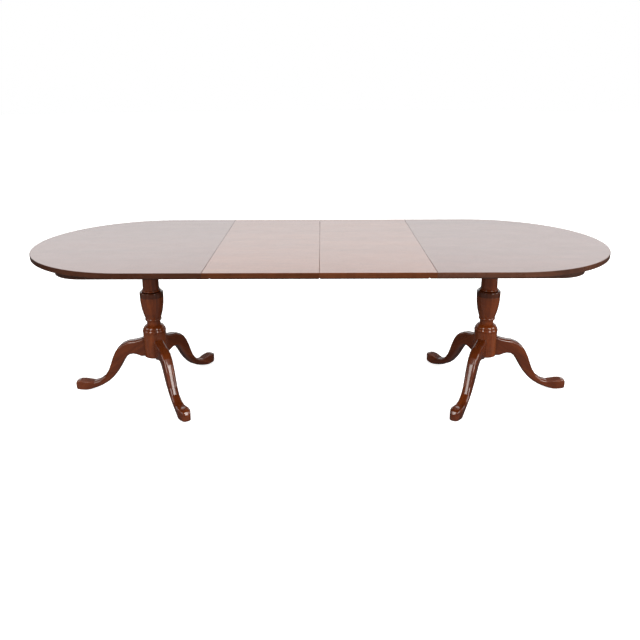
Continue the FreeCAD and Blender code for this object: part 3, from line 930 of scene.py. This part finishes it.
@dataclass
class Pedestal:
    """A turned column on three curved legs, with its glides and its plate."""

    end: End
    hub_radius: float = 54.0 * MM
    hub_bottom: float = 180.0 * MM
    hub_top: float = 302.0 * MM
    collar_radius: float = 55.2 * MM
    collar_waist: float = 53.0 * MM
    collar_height: float = 14.0 * MM
    groove_height: float = 2.5 * MM
    ovolo_radius: float = 50.0 * MM
    ovolo_height: float = 19.0 * MM
    scotia_radius: float = 31.8 * MM
    scotia_lip: float = 33.0 * MM
    scotia_height: float = 24.0 * MM
    astragal_radius: float = 39.0 * MM
    astragal_height: float = 11.0 * MM
    urn_foot_radius: float = 36.8 * MM
    urn_swell: float = 4.6 * MM
    urn_height: float = 107.0 * MM
    band_radius: float = 55.0 * MM
    band_height: float = 25.0 * MM
    band_groove: float = 1.4 * MM
    rim_height: float = 6.0 * MM
    neck_bead_radius: float = 45.0 * MM
    neck_bead_height: float = 10.5 * MM
    neck_foot_radius: float = 38.4 * MM
    neck_radius: float = 36.0 * MM
    tenon_radius: float = 20.0 * MM
    arc_steps: int = 12
    column_steps: int = 112
    column_sharp: float = 42.0
    leg_root: float = 52.0 * MM
    leg_reach: float = 410.0 * MM
    leg_top: float = 279.0 * MM
    leg_swell: float = 3.1 * MM
    leg_edge_round: float = 13.0 * MM
    leg_edge_share: float = 0.4
    leg_corner_steps: int = 4
    leg_levels: int = 2
    leg_sharp: float = 60.0
    leg_grain_slope: float = 35.0
    foot_bottom: float = 3.0 * MM
    plate_reach: float = 80.0 * MM

    @property
    def axis(self) -> Vector:
        """Foot of the column's upright axis, on the floor."""
        low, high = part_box(f"{self.end.word}_column")
        return Vector(((low.x + high.x) / 2, (low.y + high.y) / 2, 0.0))

    def build(self) -> None:
        """Builds and dresses the pedestal."""
        self.column()
        for place in LegPlace:
            self.leg(place)
        for fitting in ("spider_plate", "spider_screws", "top_screws"):
            keep_solid(f"{self.end.word}_{fitting}", STEEL)
        keep_solid(f"{self.end.word}_foot_glides", GLIDE)
        keep_solid(f"{self.end.word}_pedestal_block", SLIDE_WOOD)

    def column(self) -> None:
        """Turns the column with its hub, mouldings, urn, neck and tenon."""
        node = f"{self.end.word}_column"
        block_low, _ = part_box(f"{self.end.word}_pedestal_block")
        _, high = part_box(node)
        outline = Turning(Vector((0.0, 0.0, self.hub_bottom)), self.arc_steps)
        outline.step(self.hub_radius)
        outline.step(self.hub_radius, self.hub_top - self.hub_bottom)
        outline.step(self.collar_waist)
        outline.bulge(self.collar_radius, self.collar_waist, self.collar_height)
        outline.step(self.collar_waist, self.groove_height)
        outline.step(self.ovolo_radius)
        outline.quarter(self.scotia_lip, self.ovolo_height)
        outline.bulge(self.scotia_radius, self.scotia_lip, self.scotia_height)
        outline.step(self.urn_foot_radius)
        outline.bulge(self.astragal_radius, self.urn_foot_radius, self.astragal_height)
        swell = (self.urn_foot_radius + self.band_radius) / 2 + self.urn_swell
        outline.bulge(swell, self.band_radius, self.urn_height)
        outline.groove(self.band_groove)
        outline.step(self.band_radius, self.band_height - self.rim_height)
        outline.groove(self.band_groove)
        rim = self.rim_height - self.band_groove
        outline.quarter(self.band_radius - rim, rim)
        outline.step(self.neck_foot_radius)
        outline.bulge(self.neck_bead_radius, self.neck_foot_radius, self.neck_bead_height)
        outline.step(self.neck_radius, block_low.z - outline.points[-1].z)
        outline.step(self.tenon_radius)
        outline.step(self.tenon_radius, high.z - block_low.z)
        outline.step(0.0)
        shape = outline.turned(self.column_steps)
        bmesh.ops.translate(shape, vec=self.axis, verts=shape.verts)
        piece = as_object(shape, node + "_turning", self.column_sharp)
        store_grain(piece, lambda point: point.zxy)
        hand_over(piece, self.end.half, COLUMN_WOOD, node)

    def section(self, station: LegStation) -> list[Vector]:
        """Rounded rectangle across the leg.

        Args:
            station: Section to draw.

        Returns:
            Its points in order, from corner to corner.
        """
        span = self.leg_reach - self.leg_root
        upper = Vector((self.leg_root + station.upper_reach * span, 0.0, station.upper_height * self.leg_top))
        lower = Vector((self.leg_root + station.lower_reach * span, 0.0, station.lower_height * self.hub_bottom))
        rise = (upper - lower).normalized()
        middle = (upper + lower) / 2
        tall = (upper - lower).length / 2 + self.leg_swell
        wide = station.width / 2
        most = 2 * self.leg_edge_share * min(wide, tall)
        low, high = min(self.leg_edge_round, most), min(station.crown, most)
        corners = ((1, -1, low, -90), (1, 1, high, 0), (-1, 1, high, 90), (-1, -1, low, 180))
        points = []
        for across, along, radius, start in corners:
            for step in range(self.leg_corner_steps + 1):
                angle = math.radians(start + 90 * step / self.leg_corner_steps)
                y = across * (wide - radius) + radius * math.cos(angle)
                z = along * (tall - radius) + radius * math.sin(angle)
                points.append(middle + Vector((0.0, y, 0.0)) + rise * z)
        return points

    def leg(self, place: LegPlace) -> None:
        """Grows a leg from the hub to its toe, section by section.

        Args:
            place: Which leg of the pedestal it is.
        """
        node = f"{self.end.word}_leg_{place.word}"
        shape = bmesh.new()
        corner = shape.verts.layers.int.new("corner")
        ring = [shape.verts.new(point) for point in self.section(LEG_STATIONS[0])]
        for index, vertex in enumerate(ring):
            vertex[corner] = index
        face = shape.faces.new(ring)
        for station in LEG_STATIONS[1:]:
            points = self.section(station)
            grown = bmesh.ops.extrude_face_region(shape, geom=[face])["geom"]
            face = next(item for item in grown if isinstance(item, BMFace))
            for vertex in face.verts:
                vertex.co = points[vertex[corner]]
        rough = as_object(shape, "rough_leg", self.leg_sharp)
        smooth = rough.modifiers.new("smooth", "SUBSURF")
        smooth.levels = smooth.render_levels = self.leg_levels
        shape = flatten_modifiers(rough)
        bmesh.ops.bisect_plane(shape, geom=everything(shape), dist=MERGE, plane_co=(0.0, 0.0, self.foot_bottom),
                               plane_no=UP, clear_inner=True)
        bmesh.ops.holes_fill(shape, edges=[e for e in shape.edges if e.is_boundary], sides=0)
        for vertex in shape.verts:
            if vertex.co.x < self.plate_reach:
                vertex.co.z = max(vertex.co.z, self.hub_bottom)
        turn = math.radians(place.value if self.end is End.RIGHT else 180.0 - place.value)
        lay = Matrix.Translation(self.axis) @ Matrix.Rotation(turn, 4, "Z")
        bmesh.ops.transform(shape, matrix=lay, verts=shape.verts)
        back = lay.inverted()
        slope = Matrix.Rotation(-math.radians(self.leg_grain_slope), 4, "Y")
        piece = as_object(shape, node + "_carving", self.leg_sharp)
        store_grain(piece, lambda point: slope @ (back @ point))
        hand_over(piece, self.end.half, LEG_WOOD, node)


@dataclass
class Underside:
    """Extension slides, alignment pins and table locks under the top, which keep their solids."""

    thirds: tuple[str, ...] = ("left", "middle", "right")
    plates: tuple[str, ...] = ("left_end", "left_leaf", "right_leaf")
    keepers: tuple[str, ...] = ("left_leaf", "right_leaf", "right_end")

    def build(self) -> None:
        """Dresses the slides, pins and locks."""
        for third, plate, keeper in zip(self.thirds, self.plates, self.keepers):
            for side in Side:
                keep_solid(f"{third}_slide_rail_{side.word}", SLIDE_WOOD)
                keep_solid(f"{third}_seam_lock_lever_{side.word}", STEEL)
            keep_solid(f"{third}_seam_pins", SLIDE_WOOD)
            keep_solid(f"{plate}_lock_plates", STEEL)
            keep_solid(f"{keeper}_lock_keepers", STEEL)
        keep_solid("slide_stop_blocks", SLIDE_WOOD)
        keep_solid("middle_slide_tie", TIE_WOOD)


# Studio


class Reach(Named):
    """What a lamp lights: the polished top alone, or all but the top."""

    TOP = "INCLUDE"
    REST = "EXCLUDE"

    def receivers(self) -> bpy.types.Collection:
        """Gathers the sections of the top and says whether a lamp lights only them or all but them.

        Returns:
            Collection for a lamp's receivers.
        """
        name = f"lamp_reach_{self.word}"
        found = bpy.data.collections.get(name)
        if found is None:
            found = bpy.data.collections.new(name)
            for piece in bpy.data.objects:
                if piece.name.endswith("_top_slab"):
                    found.objects.link(piece)
            for entry in found.collection_objects:
                entry.light_linking.link_state = self.value
        return found


@dataclass(frozen=True)
class Lamp:
    """A soft lamp that looks at a point. The polished top never shows it."""

    name: str
    place: Point
    target: Point
    size: Span
    power: float
    glints: bool = True
    colour: Colour = (1.0, 0.97, 0.93)

    def put(self) -> None:
        """Puts the lamp in the studio."""
        data = bpy.data.lights.new(self.name, "AREA")
        data.shape = "RECTANGLE"
        data.size, data.size_y = self.size
        data.energy = self.power
        data.color = self.colour
        for reach in Reach:
            lamp = bpy.data.objects.new(f"{self.name}_{reach.word}", data)
            lamp.location = self.place
            lamp.rotation_euler = (Vector(self.target) - Vector(self.place)).to_track_quat("-Z", "Y").to_euler()
            lamp.visible_glossy = self.glints and reach is Reach.REST
            lamp.light_linking.receiver_collection = reach.receivers()
            bpy.context.scene.collection.objects.link(lamp)


@dataclass
class Studio:
    """Pale floor, bright wall behind, soft lamps in front and at the sides, and the camera.

    Spans named rise, fall or line are heights of a direction, and those named side are its part along Y.
    """

    floor_radius: float = 40.0
    floor_drop: float = 0.2 * MM
    floor_segments: int = 96
    floor_sharp: float = 30.0
    floor_colour: Colour = (0.86, 0.86, 0.86)
    floor_roughness: float = 0.9
    floor_glow: float = 0.72
    wall_side: Span = (0.15, 0.65)
    wall_rise: Span = (0.08, 0.26)
    wall_fall: Span = (0.29, 0.37)
    ceiling_rise: Span = (0.42, 0.95)
    floor_line: Span = (-0.05, 0.02)
    floor_rise: Span = (-0.30, -0.02)
    shade_side: Span = (-0.25, 0.30)
    front_side: Span = (-0.92, -0.75)
    wall_foot: float = 0.5
    wall: float = 1.36
    wall_top: float = 0.12
    ceiling: float = 0.9
    room: float = 0.06
    front: float = 0.3
    floor_bounce: float = 0.28
    floor_shade: float = 0.07
    backdrop: float = 1.0
    eye: Point = (0.0109, -2.9344, 1.4248)
    tilt: float = math.radians(73.26)
    turn: float = 0.0035
    roll: float = -0.0038
    lens: float = 36.40
    sensor: float = 36.0
    shift: float = -0.0577
    far: float = 200.0
    lamps: tuple[Lamp, ...] = (
        Lamp("left_softbox", (-2.45, -3.30, 2.50), (-0.2, 0.0, 0.3), (1.15, 3.6), 120.0),
        Lamp("right_softbox", (2.45, -3.30, 2.50), (0.2, 0.0, 0.3), (1.15, 3.6), 165.0),
        Lamp("left_window", (-4.20, -1.10, 1.50), (-0.8, 0.0, 0.3), (1.6, 1.8), 28.0),
        Lamp("right_window", (4.20, -1.10, 1.50), (0.8, 0.0, 0.3), (1.6, 1.8), 58.0),
        Lamp("back_fill", (0.0, 4.20, 1.90), (0.0, 0.0, 0.3), (4.0, 1.8), 95.0, glints=False),
    )

    def build(self) -> None:
        """Sets up the studio."""
        self.floor()
        self.surroundings()
        for lamp in self.lamps:
            lamp.put()
        self.camera()
        bpy.context.scene.view_settings.view_transform = "Standard"

    def floor(self) -> None:
        """Lays the floor."""
        shape = bmesh.new()
        bmesh.ops.create_circle(shape, cap_ends=True, segments=self.floor_segments, radius=self.floor_radius,
                                matrix=Matrix.Translation((0.0, 0.0, -self.floor_drop)))
        ground = as_object(shape, "floor", self.floor_sharp)
        paint = bpy.data.materials.new("floor_paint")
        Bench(paint).surface({"Base Color": (*self.floor_colour, 1.0), "Roughness": self.floor_roughness,
                              "Specular IOR Level": 0.0, "Emission Color": WHITE, "Emission Strength": self.floor_glow})
        ground.data.materials.append(paint)
        ground.visible_glossy = False
        ground.visible_diffuse = False

    def surroundings(self) -> None:
        """Lights the room: a bright wall behind the table, a softer ceiling, a dim front and a floor in part shade."""
        world = bpy.data.worlds.new("studio")
        bpy.context.scene.world = world
        bench = Bench(world)
        way = bench.add("SeparateXYZ", {0: bench.add("TexCoord").outputs["Generated"]}).outputs
        behind = bench.span(way["Y"], *self.wall_side, 0.0, 1.0)
        rise = bench.span(way["Z"], *self.wall_rise, self.wall_foot, self.wall)
        wall = bench.span(way["Z"], *self.wall_fall, rise, self.wall_top)
        upper = bench.span(way["Z"], *self.ceiling_rise, self.room, self.ceiling)
        over_floor = bench.span(way["Z"], *self.floor_line, 0.0, 1.0)
        lit = bench.times(bench.times(behind, wall), over_floor)
        shade = bench.span(way["Y"], *self.shade_side, self.floor_bounce, self.floor_shade)
        below = bench.span(way["Z"], *self.floor_rise, shade, 0.0)
        ahead = bench.times(bench.span(way["Y"], *self.front_side, self.front, 0.0), over_floor)
        glow = bench.sum("MAXIMUM", bench.sum("MAXIMUM", lit, upper), bench.sum("MAXIMUM", below, ahead))
        soft = bench.add("Background", {"Color": WHITE, "Strength": glow})
        plain = bench.add("Background", {"Color": WHITE, "Strength": self.backdrop})
        seen = bench.add("LightPath").outputs["Is Camera Ray"]
        mixed = bench.add("MixShader", {0: seen, 1: soft.outputs[0], 2: plain.outputs[0]})
        bench.add("OutputWorld", {"Surface": mixed.outputs[0]})

    def camera(self) -> None:
        """Sets up the camera where the photograph was taken from."""
        data = bpy.data.cameras.new("camera")
        data.lens = self.lens
        data.sensor_width = self.sensor
        data.shift_y = self.shift
        data.clip_end = self.far
        eye = bpy.data.objects.new("camera", data)
        aim = Matrix.Rotation(self.turn, 4, "Z") @ Matrix.Rotation(self.tilt, 4, "X")
        eye.matrix_world = Matrix.Translation(self.eye) @ aim @ Matrix.Rotation(self.roll, 4, "Z")
        bpy.context.scene.collection.objects.link(eye)
        bpy.context.scene.camera = eye


def main() -> None:
    """Builds the table and the studio."""
    logging.basicConfig(level=logging.INFO, format="%(name)s: %(message)s")
    for assembly in (TableTop(), Apron(), *map(Pedestal, End), Underside(), Studio()):
        assembly.build()
        LOG.info("%s done", type(assembly).__name__)


if __name__ == "__main__":
    main()
